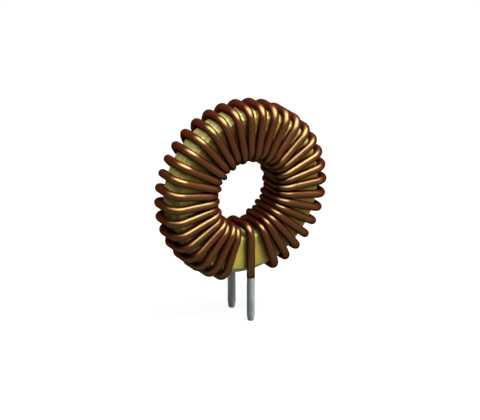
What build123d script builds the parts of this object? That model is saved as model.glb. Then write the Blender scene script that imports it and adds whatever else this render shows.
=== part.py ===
from build123d import *
import os
from math import cos, degrees, pi, radians, sin, sqrt

# Ring core, measured over its coat
core_diameter = 22.5
core_bore = 11.9
core_height = 3.9
core_edge = 0.8

# Enamelled wire, measured over its enamel, drawn with flat sides and mitred bends
wire_diameter = 1.12
wire_sides = 10
bend_step_angle = 30

# Winding: turns side by side round the ring, in two nested layers inside the bore
turn_count = 33
turn_angle = 10
lay_clearance = 0.03
nest_clearance = 0.06
crossover_share = 0.26
lead_set_share = 0.75

# Stripped and tinned ends below the seating plane
lead_length = 6.3
lead_tip_length = 0.9
lead_tip_diameter = 0.84

# Wire centre lines, worked out from the core that carries them
wire_radius = wire_diameter / 2
bend_radius = core_edge + lay_clearance + wire_radius
rim_radius = core_diameter / 2 + lay_clearance + wire_radius
face_offset = core_height / 2 + lay_clearance + wire_radius
outer_layer_radius = core_bore / 2 - lay_clearance - wire_radius

# A turn of the inner layer lies in the groove between its two neighbours of the outer layer
nest_distance = wire_diameter + nest_clearance
groove_width = outer_layer_radius * sin(radians(turn_angle))
groove_depth = sqrt(max(0, nest_distance**2 - groove_width**2))
inner_layer_radius = outer_layer_radius * cos(radians(turn_angle)) - groove_depth

# The front lead enters the bore between the two layers and joins the inner one at the back
lead_entry_radius = (outer_layer_radius + inner_layer_radius) / 2

# The free arc at the bottom of the ring has the leads in its middle
first_angle = (360 - (turn_count - 1) * turn_angle) / 2
axis_height = rim_radius * cos(radians(first_angle)) + wire_radius

# On the back face a turn runs straight out to this circle, then slants over to the next turn
ring_width = (core_diameter - core_bore) / 2
crossover_radius = core_bore / 2 + crossover_share * ring_width
lead_set_radius = core_bore / 2 + lead_set_share * ring_width

# A polygon with the same area as the round wire
section_radius = wire_radius * sqrt(2 * pi / (wire_sides * sin(2 * pi / wire_sides)))


def climb_share(radius):
    # Part of its climb that an inner turn has made, coming in over a face from the rim
    return (rim_radius - radius) / (rim_radius - inner_layer_radius)


def climb_needed(angle):
    # Climb that clears the two neighbours where they have bent into the bore by an angle
    drop = bend_radius * (1 - cos(radians(angle)))
    radius = outer_layer_radius + bend_radius * (1 - sin(radians(angle)))
    spacing = 2 * radius * sin(radians(turn_angle / 2))
    height = sqrt(max(0, nest_distance**2 - spacing**2))
    return (height - drop) / climb_share(radius)


climb_check_angles = range(0, 90, 5)
inner_climb = max(climb_needed(angle) for angle in climb_check_angles)


def place(radius, angle, y):
    # Angles start straight down and run clockwise, seen from the front of the ring
    turned = radians(angle)
    return Vector(-radius * sin(turned), y, axis_height - radius * cos(turned))


def bend(before, corner, after):
    # Points of a mitred bend that stands in for one corner of the route
    back = (before - corner).normalized()
    ahead = (after - corner).normalized()
    turned = radians(180 - back.get_angle(ahead))
    steps = max(1, round(degrees(turned) / bend_step_angle))
    inward = (back + ahead).normalized()
    along = (ahead - back).normalized()
    centre = corner + inward * (bend_radius / cos(turned / 2))
    reach = bend_radius / cos(turned / steps / 2)
    points = []
    for step in range(steps):
        angle = turned * ((step + 0.5) / steps - 0.5)
        points.append(centre - inward * (reach * cos(angle)) + along * (reach * sin(angle)))
    return points


def layer(inner):
    # Bore radius of a layer, and how far its turns stand off the faces there and at the crossover
    if inner:
        crossover_climb = inner_climb * climb_share(crossover_radius)
        return inner_layer_radius, face_offset + inner_climb, face_offset + crossover_climb
    return outer_layer_radius, face_offset, face_offset


def way_out(angle, inner):
    # From the back end of the bore to the start of the slant over the back face
    radius, bore_y, crossover_y = layer(inner)
    return [place(radius, angle, bore_y), place(crossover_radius, angle, crossover_y)]


def way_in(angle, inner):
    # Across the rim, then straight in over the front face to the bore
    radius, bore_y, _ = layer(inner)
    return [
        place(rim_radius, angle, face_offset),
        place(rim_radius, angle, -face_offset),
        place(radius, angle, -bore_y),
    ]


# The front lead comes up the front face and through the bore to the first turn
corners = [Vector(0, -face_offset, 0), place(lead_entry_radius, 0, -face_offset)]
corners += way_out(first_angle - turn_angle, inner=True)
for index in range(turn_count):
    turn_inner = index % 2 == 1
    angle = first_angle + index * turn_angle
    corners += way_in(angle, turn_inner) + way_out(angle, turn_inner)

# The last turn leaves the bore for the rear lead, which drops straight down the back face
corners.pop()
corners += [place(lead_set_radius, 0, face_offset), Vector(0, face_offset, 0)]

route_points = [corners[0]]
for before, corner, after in zip(corners, corners[1:], corners[2:]):
    route_points += bend(before, corner, after)
route_points.append(corners[-1])


def tinned_lead(y):
    # Round lead with a tapered tip, hanging from the end face of the enamelled wire
    with BuildPart() as lead:
        with BuildSketch(Plane.XZ.offset(-y)):
            with BuildLine():
                Polyline(
                    (0, 0),
                    (wire_radius, 0),
                    (wire_radius, lead_tip_length - lead_length),
                    (lead_tip_diameter / 2, -lead_length),
                    (0, -lead_length),
                    close=True,
                )
            make_face()
        revolve(axis=Axis((0, y, 0), (0, 0, 1)))
    return lead.part


# Coated ring with chamfered edges, its axis level
with BuildPart() as toroid_core:
    with BuildSketch(Plane.XZ.offset(-core_height / 2)):
        with Locations((0, axis_height)):
            Circle(core_diameter / 2)
            Circle(core_bore / 2, mode=Mode.SUBTRACT)
    extrude(amount=core_height)
    chamfer(toroid_core.edges().filter_by(GeomType.CIRCLE), core_edge)

# One continuous wire from lead to lead
with BuildPart() as winding:
    with BuildLine():
        Polyline(*route_points)
    with BuildSketch(Plane(route_points[0], z_dir=route_points[1] - route_points[0])):
        RegularPolygon(section_radius, wire_sides)
    sweep(transition=Transition.RIGHT)

pieces = {
    "toroid_core": toroid_core.part,
    "winding": winding.part,
    "tinned_lead_front": tinned_lead(-face_offset),
    "tinned_lead_rear": tinned_lead(face_offset),
}
os.makedirs("parts", exist_ok=True)
for name, piece in pieces.items():
    piece.label = name
    export_step(piece, f"parts/{name}.step")
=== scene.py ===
import math

import bpy
import numpy as np
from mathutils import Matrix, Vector


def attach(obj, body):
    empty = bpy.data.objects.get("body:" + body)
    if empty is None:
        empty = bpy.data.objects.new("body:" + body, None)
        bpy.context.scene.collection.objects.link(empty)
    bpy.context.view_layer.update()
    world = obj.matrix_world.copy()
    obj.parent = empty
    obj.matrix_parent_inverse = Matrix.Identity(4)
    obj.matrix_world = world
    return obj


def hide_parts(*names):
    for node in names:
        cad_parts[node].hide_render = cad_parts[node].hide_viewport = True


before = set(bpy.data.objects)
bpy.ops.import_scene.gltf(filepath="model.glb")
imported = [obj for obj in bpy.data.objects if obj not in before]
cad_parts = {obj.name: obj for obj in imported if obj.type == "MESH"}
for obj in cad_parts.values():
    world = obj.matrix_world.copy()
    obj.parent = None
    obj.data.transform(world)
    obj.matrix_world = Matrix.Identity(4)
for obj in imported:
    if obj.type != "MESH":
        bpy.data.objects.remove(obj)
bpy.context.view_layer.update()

mm = 0.001
print("frame:", len(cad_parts), "solids")


# node sockets that take part in plain Python sums

class Feed:
    def __init__(self, tree, socket=None):
        self.tree = tree
        self.socket = socket

    # any node: settings go on first, then a number, colour or link for each socket
    def node(self, kind, settings=None, inputs=None, output=0):
        made = self.tree.nodes.new(kind)
        for key, value in (settings or {}).items():
            setattr(made, key, value)
        for key, value in (inputs or {}).items():
            if isinstance(value, Feed):
                self.tree.links.new(value.socket, made.inputs[key])
            else:
                made.inputs[key].default_value = value
        return Feed(self.tree, made.outputs[output] if made.outputs else None)

    def combine(self, operation, first, second):
        return self.node("ShaderNodeMath", {"operation": operation}, {0: first, 1: second})

    def __add__(self, other):
        return self.combine("ADD", self, other)

    def __radd__(self, other):
        return self.combine("ADD", other, self)

    def __rsub__(self, other):
        return self.combine("SUBTRACT", other, self)

    def __mul__(self, other):
        return self.combine("MULTIPLY", self, other)

    def __rmul__(self, other):
        return self.combine("MULTIPLY", other, self)


def newMaterial(name):
    material = bpy.data.materials.new(name)
    material.use_nodes = True
    material.node_tree.nodes.clear()
    return material, Feed(material.node_tree)


# one colour laid over another by a mask; sockets 0, 6 and 7 are the mask and the two colours
def tint(feed, mask, under, over):
    return feed.node("ShaderNodeMix", {"data_type": "RGBA"}, {0: mask, 6: under, 7: over}, 2)


# 0 below one level, 1 above another
def rampMask(feed, value, low, high, blend="LINEAR"):
    return feed.node("ShaderNodeMapRange", {"interpolation_type": blend}, {0: value, 1: low, 2: high})


# soft noise on stretched coordinates, steepened between two levels to a 0 to 1 mask
def noiseMask(feed, coords, stretch, low, high, detail=3):
    stretched = feed.node("ShaderNodeVectorMath", {"operation": "MULTIPLY"}, {0: coords, 1: stretch})
    cloud = feed.node("ShaderNodeTexNoise", {}, {"Vector": stretched, "Scale": 1.0, "Detail": detail})
    return rampMask(feed, cloud, low, high)


def attributeVector(feed, name):
    return feed.node("ShaderNodeAttribute", {"attribute_name": name}, {}, "Vector")


# fine relief from a 0 to 1 height
def relief(feed, height, strength, depth):
    return feed.node("ShaderNodeBump", {}, {"Strength": strength, "Distance": depth * mm, "Height": height})


def surface(feed, shaderInputs):
    return feed.node("ShaderNodeBsdfPrincipled", {}, shaderInputs)


def finishMaterial(feed, shader):
    feed.node("ShaderNodeOutputMaterial", {}, {"Surface": shader})


# surfaces on a grid of rows by columns, columns closed round

# a sixth of the sum of a . (b x c) over all triangles
def signedVolume(points, triangles):
    a, b, c = points[triangles].transpose(1, 0, 2)
    return float(np.einsum("ij,ij->i", a, np.cross(b, c)).sum()) / 6


# a grid of points becomes quads; rows either close on themselves or end in a fan round a pole
def gridPiece(name, grid, closedRows, material):
    rows, columns = grid.shape[:2]
    index = np.arange(rows * columns).reshape(rows, columns)
    nextColumn = np.roll(index, -1, 1)
    if closedRows:
        lower, lowerNext = index, nextColumn
        upper, upperNext = np.roll(index, -1, 0), np.roll(nextColumn, -1, 0)
    else:
        lower, lowerNext = index[:-1], nextColumn[:-1]
        upper, upperNext = index[1:], nextColumn[1:]
    quads = np.stack([lower, lowerNext, upperNext, upper], -1).reshape(-1, 4)
    points = grid.reshape(-1, 3)
    fans = np.zeros((0, 3), int)
    if not closedRows:
        poles = grid[[0, -1]].mean(1)
        first, last = rows * columns, rows * columns + 1
        points = np.vstack([points, poles])
        startFan = np.stack([np.full(columns, first), nextColumn[0], index[0]], -1)
        endFan = np.stack([np.full(columns, last), index[-1], nextColumn[-1]], -1)
        fans = np.vstack([startFan, endFan])
    triangles = np.vstack([quads[:, [0, 1, 2]], quads[:, [0, 2, 3]], fans])
    if signedVolume(points, triangles) < 0:  # faces point outwards
        quads, fans = quads[:, ::-1], fans[:, ::-1]
    mesh = bpy.data.meshes.new(name)
    mesh.vertices.add(len(points))
    mesh.vertices.foreach_set("co", points.astype(np.float32).ravel())
    corners = np.concatenate([quads.ravel(), fans.ravel()]).astype(np.int32)
    sizes = np.concatenate([np.full(len(quads), 4), np.full(len(fans), 3)])
    starts = np.concatenate([[0], np.cumsum(sizes)[:-1]]).astype(np.int32)
    mesh.loops.add(len(corners))
    mesh.loops.foreach_set("vertex_index", corners)
    mesh.polygons.add(len(sizes))
    mesh.polygons.foreach_set("loop_start", starts)
    mesh.polygons.foreach_set("use_smooth", np.ones(len(sizes), bool))
    mesh.update(calc_edges=True)
    mesh.validate()
    mesh.materials.append(material)
    piece = bpy.data.objects.new(name, mesh)
    bpy.context.scene.collection.objects.link(piece)
    return piece


# one vector for each vertex; the poles repeat the last one
def addVectors(piece, name, values):
    missing = len(piece.data.vertices) - len(values)
    padded = np.vstack([values, np.repeat(values[-1:], missing, 0)])
    attribute = piece.data.attributes.new(name, "FLOAT_VECTOR", "POINT")
    attribute.data.foreach_set("vector", padded.astype(np.float32).ravel())


def settle(piece, node):
    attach(piece, "root")
    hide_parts(node)
    print(piece.name + ":", len(piece.data.polygons), "faces")


# each vector over its own length
def unit(vectors):
    return vectors / np.linalg.norm(vectors, axis=-1, keepdims=True)


# each inner corner of a path becomes an arc tangent to its two runs: the arc's centre lies on the
# corner's bisector, radius / cos(half turn) away, and the runs between arcs are split evenly
def roundedPath(corners, radii, arcSteps, runSteps):
    corner = corners[1:-1]
    back = unit(corners[:-2] - corner)
    ahead = unit(corners[2:] - corner)
    turned = np.pi - np.arccos(np.clip((back * ahead).sum(-1), -1, 1))
    inward = unit(back + ahead)
    along = unit(ahead - back)
    centre = corner + inward * (radii / np.cos(turned / 2))[:, None]
    swing = turned[:, None] * np.linspace(-0.5, 0.5, arcSteps)
    reach = radii[:, None, None]
    cosine = np.cos(swing)[..., None]
    sine = np.sin(swing)[..., None]
    arcs = centre[:, None] - inward[:, None] * reach * cosine + along[:, None] * reach * sine
    starts = np.vstack([corners[:1], arcs[:, -1]])
    ends = np.vstack([arcs[:, 0], corners[-1:]])
    share = np.linspace(0, 1, runSteps + 2)[1:-1][None, :, None]
    runs = starts[:, None] + (ends - starts)[:, None] * share
    body = np.concatenate([runs[:-1], arcs], 1).reshape(-1, 3)
    return np.vstack([corners[:1], body, runs[-1], corners[-1:]])


# ring core and winding: sizes in mm, angles in degrees, colours linear

coreSet = {
    "diameter": 22.5, "bore": 11.9, "height": 3.9, "edge": 0.75, "boreEdge": 0.5,
    "coatRound": 0.15, "arcSteps": 7, "flatSteps": 5, "aroundSteps": 216,
    "paint": (0.690, 0.485, 0.086, 1), "paintOlive": (0.385, 0.370, 0.070, 1),
    # the pale chamfer colour is a painted highlight
    "rimOlive": (0.370, 0.375, 0.105, 1), "chamferPaintedHighlight": (0.590, 0.530, 0.165, 1),
    "streak": (0.150, 0.160, 0.035, 1), "speck": (0.270, 0.245, 0.055, 1),
    "streakNoise": {"stretch": (0.40, 0.40, 4.60), "low": 0.40, "high": 0.60},
    "mottleNoise": {"stretch": (640, 640, 460), "low": 0.38, "high": 0.62},
    "speckNoise": {"stretch": (2600, 2600, 2600), "low": 0.66, "high": 0.74, "detail": 2},
    "peelNoise": {"stretch": (1500, 1500, 1500), "low": 0.30, "high": 0.70, "detail": 2},
    "mottleShare": 0.70, "rimShare": 0.85, "speckShare": 0.30,
    "faceStreakShare": 0.10, "rimStreakShare": 0.50, "highlightShare": 0.88, "highlightStreakShare": 0.75,
    "rimSlope": 0.5, "rimGain": 2.2, "edgeSlope": 0.7071, "highlightPeak": 1.25, "highlightGain": 4,
    "peelShare": 0.6, "streakShare": 0.4, "bumpStrength": 0.12, "bumpDepth": 0.05,
    "roughness": 0.50, "mottleRoughness": 0.14, "specular": 0.12,
}

windingSet = {
    "wire": 1.12, "sides": 24, "arcSteps": 11, "runSteps": 5,
    "turns": 33, "turnAngle": 10.0, "layClearance": 0.03, "nestClearance": 0.06,
    "bend": 1.39, "rimBend": 1.55, "crossoverBend": 3.0, "swingStep": 5,
    "crossoverShare": 0.26, "leadFootShare": 0.75, "nestShare": 0.25,
    "entryAngle": 4.0, "leadRise": 0.24, "lastDrop": 0.2,
    "pressClearance": 0.02, "freeAngle": 4.0,
    "copper": (0.088, 0.071, 0.025, 1), "copperRed": (0.088, 0.062, 0.023, 1),
    "copperEdge": (0.25, 0.14, 0.06, 1),
    "enamel": (0.072, 0.006, 0.003, 1), "enamelRed": (0.072, 0.005, 0.004, 1),
    "enamelDark": (0.032, 0.004, 0.002, 1),
    "toneNoise": {"stretch": (0.35, 0.35, 0.10), "low": 0.35, "high": 0.65},
    "patchNoise": {"stretch": (0.9, 0.9, 0.45), "low": 0.42, "high": 0.70},
    "dieNoise": {"stretch": (9.0, 9.0, 0.22), "low": 0.30, "high": 0.70, "detail": 2},
    "copperShare": 0.4, "patchShare": 0.45, "bumpStrength": 0.06, "bumpDepth": 0.03,
    "enamelRoughness": 0.42, "copperRoughness": 0.29, "dieRoughness": 0.05,
}

wireRadius = windingSet["wire"] / 2
layOff = windingSet["layClearance"] + wireRadius
rimRadius = coreSet["diameter"] / 2 + layOff
faceOffset = coreSet["height"] / 2 + layOff
firstAngle = (360 - (windingSet["turns"] - 1) * windingSet["turnAngle"]) / 2
axisHeight = rimRadius * math.cos(math.radians(firstAngle)) + wireRadius


# polar places about the ring's axis: radius, angle clockwise from straight down, depth
def ringPlace(polar):
    radius, angle, depth = np.moveaxis(np.asarray(polar, float), -1, 0)
    turned = np.radians(angle)
    height = axisHeight - radius * np.cos(turned)
    return np.stack([-radius * np.sin(turned), depth, height], -1) * mm


# yellow paint with olive clouds, olive on the rim and bore, a pale painted highlight on the chamfers, streaks
# round the ring
def coreCoat():
    material, feed = newMaterial("coreCoat")
    coords = feed.node("ShaderNodeTexCoord", {}, {}, "Object")
    coatRun = attributeVector(feed, "coatRun")
    zone = attributeVector(feed, "coatZone")
    rim = feed.node("ShaderNodeSeparateXYZ", {}, {0: zone}, "X")
    chamferHighlight = feed.node("ShaderNodeSeparateXYZ", {}, {0: zone}, "Y")
    dieStreaks = noiseMask(feed, coatRun, **coreSet["streakNoise"])
    mottle = noiseMask(feed, coords, **coreSet["mottleNoise"])
    specks = noiseMask(feed, coords, **coreSet["speckNoise"])
    peel = noiseMask(feed, coords, **coreSet["peelNoise"])
    streaked = dieStreaks * (coreSet["faceStreakShare"] + coreSet["rimStreakShare"] * rim)
    # painted highlight: the chamfers are painted pale where light catches them, broken by the streaks
    highlightMask = chamferHighlight * (coreSet["highlightShare"] - coreSet["highlightStreakShare"] * dieStreaks)
    colour = tint(feed, mottle * coreSet["mottleShare"], coreSet["paint"], coreSet["paintOlive"])
    colour = tint(feed, rim * coreSet["rimShare"], colour, coreSet["rimOlive"])
    colour = tint(feed, streaked, colour, coreSet["streak"])
    colour = tint(feed, highlightMask, colour, coreSet["chamferPaintedHighlight"])
    colour = tint(feed, specks * coreSet["speckShare"], colour, coreSet["speck"])
    height = coreSet["peelShare"] * peel + coreSet["streakShare"] * dieStreaks
    bump = relief(feed, height, coreSet["bumpStrength"], coreSet["bumpDepth"])
    finishMaterial(feed, surface(feed, {
        "Base Color": colour, "Roughness": coreSet["roughness"] + coreSet["mottleRoughness"] * mottle,
        "Metallic": 0.0, "Specular IOR Level": coreSet["specular"], "Normal": bump,
    }))
    return material


# a profile with broken, softly coated edges, carried round the ring's axis
def makeCore():
    outer, inner = coreSet["diameter"] / 2, coreSet["bore"] / 2
    half, edge, boreEdge = coreSet["height"] / 2, coreSet["edge"], coreSet["boreEdge"]
    upper = np.array([
        (outer, 0, half - edge), (outer - edge, 0, half),
        (inner + boreEdge, 0, half), (inner, 0, half - boreEdge),
    ])
    profile = np.vstack([upper, upper[::-1] * (1, 1, -1)])
    seam = np.array([(outer, 0, 0)])  # the profile starts and ends in the middle of the rim
    looped = np.vstack([seam, profile, seam])
    radii = np.full(len(profile), coreSet["coatRound"])
    section = roundedPath(looped, radii, coreSet["arcSteps"], coreSet["flatSteps"])[:-1]
    around = np.linspace(0, 360, coreSet["aroundSteps"], endpoint=False)
    polar = np.zeros((len(section), len(around), 3))
    polar[..., 0] = section[:, None, 0]
    polar[..., 1] = around
    polar[..., 2] = section[:, None, 2]
    core = gridPiece("toroidCore", ringPlace(polar), True, coreCoat())

    # along the section in mm, and how far the surface faces outwards: 1 on rim and bore, 0 on the faces
    ahead = np.roll(section, -1, 0) - np.roll(section, 1, 0)
    run = np.linalg.norm(np.diff(section, axis=0, prepend=section[:1]), axis=1).cumsum()
    slope = np.abs(ahead[:, 2]) / np.hypot(ahead[:, 0], ahead[:, 2])
    rim = coreSet["rimGain"] * (slope - coreSet["rimSlope"])
    # painted highlight: palest where the section slopes like the chamfers
    chamferHighlight = coreSet["highlightPeak"] - coreSet["highlightGain"] * np.abs(slope - coreSet["edgeSlope"])
    coatRun = np.zeros(polar.shape)
    coatRun[..., 0] = outer * np.cos(np.radians(around))
    coatRun[..., 1] = outer * np.sin(np.radians(around))
    coatRun[..., 2] = run[:, None]
    coatZone = np.zeros(polar.shape)
    coatZone[..., 0] = np.clip(rim, 0, 1)[:, None]
    coatZone[..., 1] = np.clip(chamferHighlight, 0, 1)[:, None]
    addVectors(core, "coatRun", coatRun.reshape(-1, 3))
    addVectors(core, "coatZone", coatZone.reshape(-1, 3))
    settle(core, "toroid_core")


makeCore()


# winding: one round wire along the whole route, from the front lead round all turns to the rear lead

# brown enamel over golden metal, both in tones that drift along the wire
def enamelledCopper():
    material, feed = newMaterial("enamelledCopper")
    wireRun = attributeVector(feed, "wireRun")
    tone = noiseMask(feed, wireRun, **windingSet["toneNoise"])
    patches = noiseMask(feed, wireRun, **windingSet["patchNoise"])
    dieLines = noiseMask(feed, wireRun, **windingSet["dieNoise"])
    skin = tint(feed, tone, windingSet["enamel"], windingSet["enamelRed"])
    skin = tint(feed, patches * windingSet["patchShare"], skin, windingSet["enamelDark"])
    copper = tint(feed, tone, windingSet["copper"], windingSet["copperRed"])
    bump = relief(feed, dieLines, windingSet["bumpStrength"], windingSet["bumpDepth"])
    brown = surface(feed, {
        "Base Color": skin, "Roughness": windingSet["enamelRoughness"], "Metallic": 0.0,
        "Specular IOR Level": 0.0, "Normal": bump,
    })
    bright = surface(feed, {
        "Base Color": copper, "Metallic": 1.0, "Specular Tint": windingSet["copperEdge"],
        "Roughness": windingSet["copperRoughness"] + windingSet["dieRoughness"] * dieLines, "Normal": bump,
    })
    both = feed.node("ShaderNodeMixShader", {}, {0: windingSet["copperShare"], 1: brown, 2: bright})
    finishMaterial(feed, both)
    return material


# every turn as five corners: rim back, rim front, bore front, bore back, start of the slant;
# every second turn lies in the groove between its neighbours, sqrt(nest^2 - spacing^2) further in
def windingCorners():
    outerLayer = coreSet["bore"] / 2 - layOff
    nest = windingSet["wire"] + windingSet["nestClearance"]
    step = math.radians(windingSet["turnAngle"])
    grooveDepth = math.sqrt(max(0, nest ** 2 - (outerLayer * math.sin(step)) ** 2))
    innerLayer = outerLayer * math.cos(step) - grooveDepth
    ringWidth = (coreSet["diameter"] - coreSet["bore"]) / 2
    crossover = coreSet["bore"] / 2 + windingSet["crossoverShare"] * ringWidth
    leadFoot = coreSet["bore"] / 2 + windingSet["leadFootShare"] * ringWidth
    bendRadius = windingSet["bend"]

    # share of its climb that an inner turn has made on its way from the rim to the bore
    def climbShare(radius):
        return (rimRadius - radius) / (rimRadius - innerLayer)

    # the climb off the faces that clears the outer turns all round their bends
    swing = np.radians(np.arange(0, 90, windingSet["swingStep"]))
    swingRadius = outerLayer + bendRadius * (1 - np.sin(swing))
    spacing = 2 * swingRadius * math.sin(step / 2)
    height = np.sqrt(np.maximum(0, nest ** 2 - spacing ** 2))
    climb = ((height - bendRadius * (1 - np.cos(swing))) / climbShare(swingRadius)).max()

    # only a share of the nesting is shown
    middle = (outerLayer + innerLayer) / 2
    outerLayer = middle + (outerLayer - middle) * windingSet["nestShare"]
    innerLayer = middle + (innerLayer - middle) * windingSet["nestShare"]
    climb = climb * windingSet["nestShare"]

    turn = np.arange(windingSet["turns"])
    angle = firstAngle + turn * windingSet["turnAngle"]
    nested = turn % 2 == 1
    bore = np.where(nested, innerLayer, outerLayer)
    bore[-1] = bore[-1] + windingSet["lastDrop"]
    rim = np.full_like(bore, rimRadius)
    slant = np.full_like(bore, crossover)
    face = np.full_like(bore, faceOffset)
    boreDepth = faceOffset + np.where(nested, climb, 0)
    slantDepth = faceOffset + np.where(nested, climb * climbShare(crossover), 0)
    polar = np.zeros((len(turn), 5, 3))
    polar[..., 0] = np.stack([rim, rim, bore, bore, slant], 1)
    polar[..., 1] = angle[:, None]
    polar[..., 2] = np.stack([face, -face, -boreDepth, boreDepth, slantDepth], 1)
    entry = windingSet["entryAngle"]
    leadBore = middle - windingSet["leadRise"]
    lead = np.array([
        (axisHeight, 0, -faceOffset), (leadBore, 0, -faceOffset),
        (leadBore, entry, faceOffset + climb), (crossover, entry, faceOffset + climb * climbShare(crossover)),
    ])
    end = np.array([(leadFoot, 360, faceOffset), (axisHeight, 360, faceOffset)])
    corners = np.vstack([lead, polar.reshape(-1, 3)[:-1], end])
    radii = np.full(len(corners) - 2, bendRadius)
    radii[np.isclose(corners[1:-1, 0], crossover)] = windingSet["crossoverBend"]
    radii[np.isclose(corners[1:-1, 0], rimRadius)] = windingSet["rimBend"]
    return corners, radii, outerLayer - innerLayer


# a circle carried along the route: its two axes are the direction round the ring, squared to the
# wire, and the cross product of that with the wire's own direction; where neighbours leave less room
# than the wire's width, the first axis is pressed to that room
def makeWinding():
    corners, radii, layerStep = windingCorners()
    path = roundedPath(ringPlace(corners), radii * mm, windingSet["arcSteps"], windingSet["runSteps"])
    heading = unit(np.gradient(path, axis=0))
    offAxis = path - np.array([0, 0, axisHeight * mm])
    roundRing = unit(np.stack([offAxis[:, 2], np.zeros(len(path)), -offAxis[:, 0]], -1))
    side = unit(roundRing - heading * (roundRing * heading).sum(-1, keepdims=True))
    lift = np.cross(heading, side)
    around = np.linspace(0, 2 * np.pi, windingSet["sides"], endpoint=False)
    cosine, sine = np.cos(around)[None, :, None], np.sin(around)[None, :, None]
    ringRadius = np.hypot(offAxis[:, 0], offAxis[:, 2]) / mm
    room = np.hypot(2 * ringRadius * math.sin(math.radians(windingSet["turnAngle"] / 2)), layerStep)
    pressed = np.clip((room - windingSet["pressClearance"]) / windingSet["wire"], 0, 1)
    fromBottom = np.degrees(np.arccos(np.clip(-offAxis[:, 2] / mm / ringRadius, -1, 1)))
    free = fromBottom < firstAngle - windingSet["freeAngle"]  # the leads have no close neighbours
    pressed = np.where(free, 1, pressed)[:, None, None]
    grid = path[:, None] + wireRadius * mm * (side[:, None] * cosine * pressed + lift[:, None] * sine)
    winding = gridPiece("woundWire", grid, False, enamelledCopper())
    travelled = np.concatenate([[0], np.linalg.norm(np.diff(path, axis=0), axis=1).cumsum()]) / mm
    wireRun = np.zeros(grid.shape)
    wireRun[..., 0] = np.cos(around)
    wireRun[..., 1] = np.sin(around)
    wireRun[..., 2] = travelled[:, None]
    addVectors(winding, "wireRun", wireRun.reshape(-1, 3))
    settle(winding, "winding")
    print("wire length", round(float(travelled[-1]), 1), "mm")


makeWinding()


# tinned ends: a turned profile with a thin uneven skin of solder and a tapered tip, in mm

leadSet = {
    "length": 6.3, "tip": 0.9, "tipDiameter": 0.84, "tipRound": 0.10, "shoulder": 0.25,
    "stripped": 0.535, "tinInset": 0.012, "skin": 0.008, "fastRipple": 1.9, "slowRipple": 0.7,
    "frontPhase": 0.4, "rearPhase": 2.1, "sides": 40, "steps": 90,
    "tin": (0.355, 0.395, 0.380, 1), "tinPale": (0.480, 0.525, 0.510, 1),
    "tinDull": (0.205, 0.230, 0.222, 1),
    "runNoise": {"stretch": (1600, 1600, 260), "low": 0.40, "high": 0.60},
    "dullNoise": {"stretch": (1300, 1300, 220), "low": 0.46, "high": 0.66},
    "grainNoise": {"stretch": (4200, 4200, 2100), "low": 0.30, "high": 0.70, "detail": 2},
    "runShare": 0.6, "dullShare": 0.6, "bumpStrength": 0.12, "bumpDepth": 0.04,
    "roughness": 0.36, "dullRoughness": 0.14, "metallic": 0.03, "specular": 0.06,
}


# grey tin with pale and dull runs down the lead
def tinnedCopper():
    material, feed = newMaterial("tinnedCopper")
    coords = feed.node("ShaderNodeTexCoord", {}, {}, "Object")
    runs = noiseMask(feed, coords, **leadSet["runNoise"])
    dull = noiseMask(feed, coords, **leadSet["dullNoise"])
    grain = noiseMask(feed, coords, **leadSet["grainNoise"])
    colour = tint(feed, runs * leadSet["runShare"], leadSet["tin"], leadSet["tinPale"])
    colour = tint(feed, dull * leadSet["dullShare"], colour, leadSet["tinDull"])
    bump = relief(feed, grain, leadSet["bumpStrength"], leadSet["bumpDepth"])
    finishMaterial(feed, surface(feed, {
        "Base Color": colour, "Roughness": leadSet["roughness"] + leadSet["dullRoughness"] * dull,
        "Metallic": leadSet["metallic"], "Specular IOR Level": leadSet["specular"], "Normal": bump,
    }))
    return material


# radius against depth: bare at the enamel's end, full a little lower, then a cone and a rounded tip;
# a ripple of two waves round the axis times one of one wave gives the skin its thickness
def makeLead(name, node, depth, material, phase):
    length, tipRound = leadSet["length"], leadSet["tipRound"]
    down = np.linspace(0, length, leadSet["steps"])
    coneStart = length - leadSet["tip"]
    rise = np.clip(down / leadSet["shoulder"], 0, 1)
    full = wireRadius - leadSet["tinInset"]
    body = leadSet["stripped"] + (full - leadSet["stripped"]) * rise * rise * (3 - 2 * rise)
    taper = np.clip((down - coneStart) / leadSet["tip"], 0, 1)
    radius = body + (leadSet["tipDiameter"] / 2 - body) * taper
    toEnd = np.clip((length - down) / tipRound, 0, 1)
    radius = radius - tipRound * (1 - np.sqrt(1 - (1 - toEnd) ** 2))
    around = np.linspace(0, 2 * np.pi, leadSet["sides"], endpoint=False)
    fast = np.sin(leadSet["fastRipple"] * down[:, None] + 2 * around + phase)
    slow = np.cos(leadSet["slowRipple"] * down[:, None] - around + 2 * phase)
    skin = leadSet["skin"] * fast * slow * (1 - taper[:, None]) * rise[:, None]
    reach = radius[:, None] + skin
    grid = np.zeros(reach.shape + (3,))
    grid[..., 0] = reach * np.cos(around)
    grid[..., 1] = depth + reach * np.sin(around)
    grid[..., 2] = -down[:, None]
    lead = gridPiece(name, grid * mm, False, material)
    settle(lead, node)


leadTin = tinnedCopper()
makeLead("tinnedLeadFront", "tinned_lead_front", -faceOffset, leadTin, leadSet["frontPhase"])
makeLead("tinnedLeadRear", "tinned_lead_rear", faceOffset, leadTin, leadSet["rearPhase"])


# plain pale floor at the tips of the leads, soft light, camera; floor and lamps in metres

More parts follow.
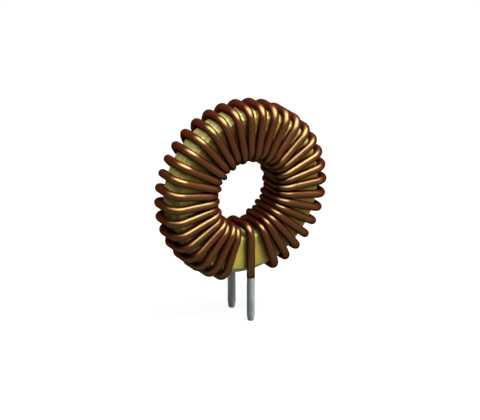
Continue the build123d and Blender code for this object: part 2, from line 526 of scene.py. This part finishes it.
stageSet = {
    "poleRadius": 0.02, "floorRadius": 0.85, "sweepRadius": 0.17,
    "flatRings": 12, "curlRings": 12, "aroundSteps": 96,
    "floorBounce": (0.06, 0.06, 0.06, 1), "floorPale": (0.62, 0.62, 0.62, 1),
    "glowShare": 0.75, "glowStrength": 1.15, "whiteFrom": 0.16, "whiteFully": 0.36,
    "roomLow": (0.03, 0.03, 0.03, 1), "roomHigh": (0.12, 0.12, 0.12, 1),
    "roomRise": 0.45, "roomTop": 0.95,
}
lampSet = {
    "key": {
        "toward": (0.23, -0.34, 0.91), "distance": 0.30, "size": 0.20, "power": 1.84, "diffuse": True,
    },
    "rimLight": {
        "toward": (-0.50, 0.18, 0.85), "distance": 0.35, "size": 0.26, "power": 1.05, "diffuse": True,
    },
    "glossCard": {
        "toward": (0.03, -0.29, 0.955), "distance": 0.30, "size": 0.42, "power": 13.0, "diffuse": False,
    },
    "fill": {
        "toward": (0.55, -0.83, 0.20), "distance": 0.35, "size": 0.40, "power": 0.62, "diffuse": True,
    },
}
cameraSet = {
    "azimuth": -30.65, "elevation": 21.84, "distance": 384, "pixelsPerMm": 7.52,
    "centrePixel": (241.15, 189.62), "imageSize": (480, 420), "sensor": 36, "clipStart": 10,
}
ringCentre = Vector((0, 0, axisHeight * mm))


# white paper for eyes and mirrors, dark for light that bounces; a part of it stays paper and keeps the
# shadow near the object, and further out the camera sees plain white
def floorPaper():
    material, feed = newMaterial("paleFloor")
    direct = feed.node("ShaderNodeLightPath", {}, {}, "Is Camera Ray")
    seen = direct + feed.node("ShaderNodeLightPath", {}, {}, "Is Glossy Ray")
    seen = seen + feed.node("ShaderNodeLightPath", {}, {}, "Is Transmission Ray")
    place = feed.node("ShaderNodeTexCoord", {}, {}, "Object")
    spread = feed.node("ShaderNodeVectorMath", {"operation": "LENGTH"}, {0: place}, "Value")
    far = rampMask(feed, spread, stageSet["whiteFrom"], stageSet["whiteFully"])
    glowing = seen * stageSet["glowShare"] + direct * far * (1 - stageSet["glowShare"])
    pale = tint(feed, seen, stageSet["floorBounce"], stageSet["floorPale"])
    paper = feed.node("ShaderNodeBsdfDiffuse", {}, {"Color": pale})
    glow = feed.node("ShaderNodeEmission", {}, {"Strength": stageSet["glowStrength"]})
    finishMaterial(feed, feed.node("ShaderNodeMixShader", {}, {0: glowing, 1: paper, 2: glow}))
    return material


# an open dish of quads closed by one pole in the middle
def sweepSheet(name, grid, material):
    rows, columns = grid.shape[:2]
    index = np.arange(rows * columns).reshape(rows, columns)
    beside = np.roll(index, -1, 1)
    quads = np.stack([index[:-1], index[1:], beside[1:], beside[:-1]], -1).reshape(-1, 4)
    pole = rows * columns
    fan = np.stack([np.full(columns, pole), index[0], beside[0]], -1)
    points = np.vstack([grid.reshape(-1, 3), grid[0].mean(0)])
    mesh = bpy.data.meshes.new(name)
    mesh.from_pydata(points.tolist(), [], quads.tolist() + fan.tolist())
    mesh.polygons.foreach_set("use_smooth", np.ones(len(mesh.polygons), bool))
    mesh.materials.append(material)
    sheet = bpy.data.objects.new(name, mesh)
    bpy.context.scene.collection.objects.link(sheet)
    return sheet


# flat paper that curls up into a low wall far away: a quarter circle added to the floor's edge
def makeFloor():
    floorRadius, sweepRadius = stageSet["floorRadius"], stageSet["sweepRadius"]
    flat = np.linspace(stageSet["poleRadius"], floorRadius, stageSet["flatRings"])
    curl = np.linspace(0, np.pi / 2, stageSet["curlRings"])[1:]
    reach = np.concatenate([flat, floorRadius + sweepRadius * np.sin(curl)])
    lift = np.concatenate([np.zeros(len(flat)), sweepRadius * (1 - np.cos(curl))])
    around = np.linspace(0, 2 * np.pi, stageSet["aroundSteps"], endpoint=False)
    grid = np.zeros((len(reach), len(around), 3))
    grid[..., 0] = reach[:, None] * np.cos(around)
    grid[..., 1] = reach[:, None] * np.sin(around)
    grid[..., 2] = lift[:, None] - leadSet["length"] * mm
    floor = sweepSheet("paleFloor", grid, floorPaper())


# a dim room, a little lighter overhead
def makeWorld():
    world = bpy.data.worlds.new("softRoom")
    world.use_nodes = True
    world.node_tree.nodes.clear()
    feed = Feed(world.node_tree)
    direction = feed.node("ShaderNodeTexCoord", {}, {}, "Generated")
    height = feed.node("ShaderNodeSeparateXYZ", {}, {0: direction}, "Z")
    rise = rampMask(feed, height, stageSet["roomRise"], stageSet["roomTop"], "SMOOTHSTEP")
    colour = tint(feed, rise, stageSet["roomLow"], stageSet["roomHigh"])
    light = feed.node("ShaderNodeBackground", {}, {"Color": colour})
    feed.node("ShaderNodeOutputWorld", {}, {"Surface": light})
    bpy.context.scene.world = world


# holds a lamp or the camera at a distance from a point, turned to face it
def aimAt(name, data, target, toward, distance):
    holder = bpy.data.objects.new(name, data)
    holder.location = target + toward * distance
    holder.rotation_euler = (-toward).to_track_quat("-Z", "Y").to_euler()
    bpy.context.scene.collection.objects.link(holder)
    return holder


def makeLamp(name, values):
    lamp = bpy.data.lights.new(name, "AREA")
    lamp.shape = "DISK"
    lamp.size = values["size"]
    lamp.energy = values["power"]
    toward = Vector(values["toward"]).normalized()
    holder = aimAt(name, lamp, ringCentre, toward, values["distance"])
    holder.visible_diffuse = values["diffuse"]


# the camera looks at the point that lands in the middle of the image: the ring's centre moved by the
# pixels between its place and the middle, over pixels per mm
def makeCamera():
    azimuth, elevation = math.radians(-cameraSet["azimuth"]), math.radians(cameraSet["elevation"])
    level = math.cos(elevation)
    toward = Vector((-math.sin(azimuth) * level, -math.cos(azimuth) * level, math.sin(elevation)))
    right = Vector((math.cos(azimuth), -math.sin(azimuth), 0))
    up = toward.cross(right)
    width, height = cameraSet["imageSize"]
    scale = cameraSet["pixelsPerMm"]
    offRight = (width / 2 - cameraSet["centrePixel"][0]) / scale
    offUp = (cameraSet["centrePixel"][1] - height / 2) / scale
    aim = ringCentre + (right * offRight + up * offUp) * mm
    camera = bpy.data.cameras.new("photoCamera")
    camera.sensor_width = cameraSet["sensor"]
    camera.lens = scale * cameraSet["distance"] * cameraSet["sensor"] / width
    camera.clip_start = cameraSet["clipStart"] * mm
    bpy.context.scene.camera = aimAt("photoCamera", camera, aim, toward, cameraSet["distance"] * mm)


makeFloor()
makeWorld()
for lampName, lampValues in lampSet.items():
    makeLamp(lampName, lampValues)
makeCamera()
bpy.context.scene.view_settings.view_transform = "Standard"
print("stage, lamps and camera set")
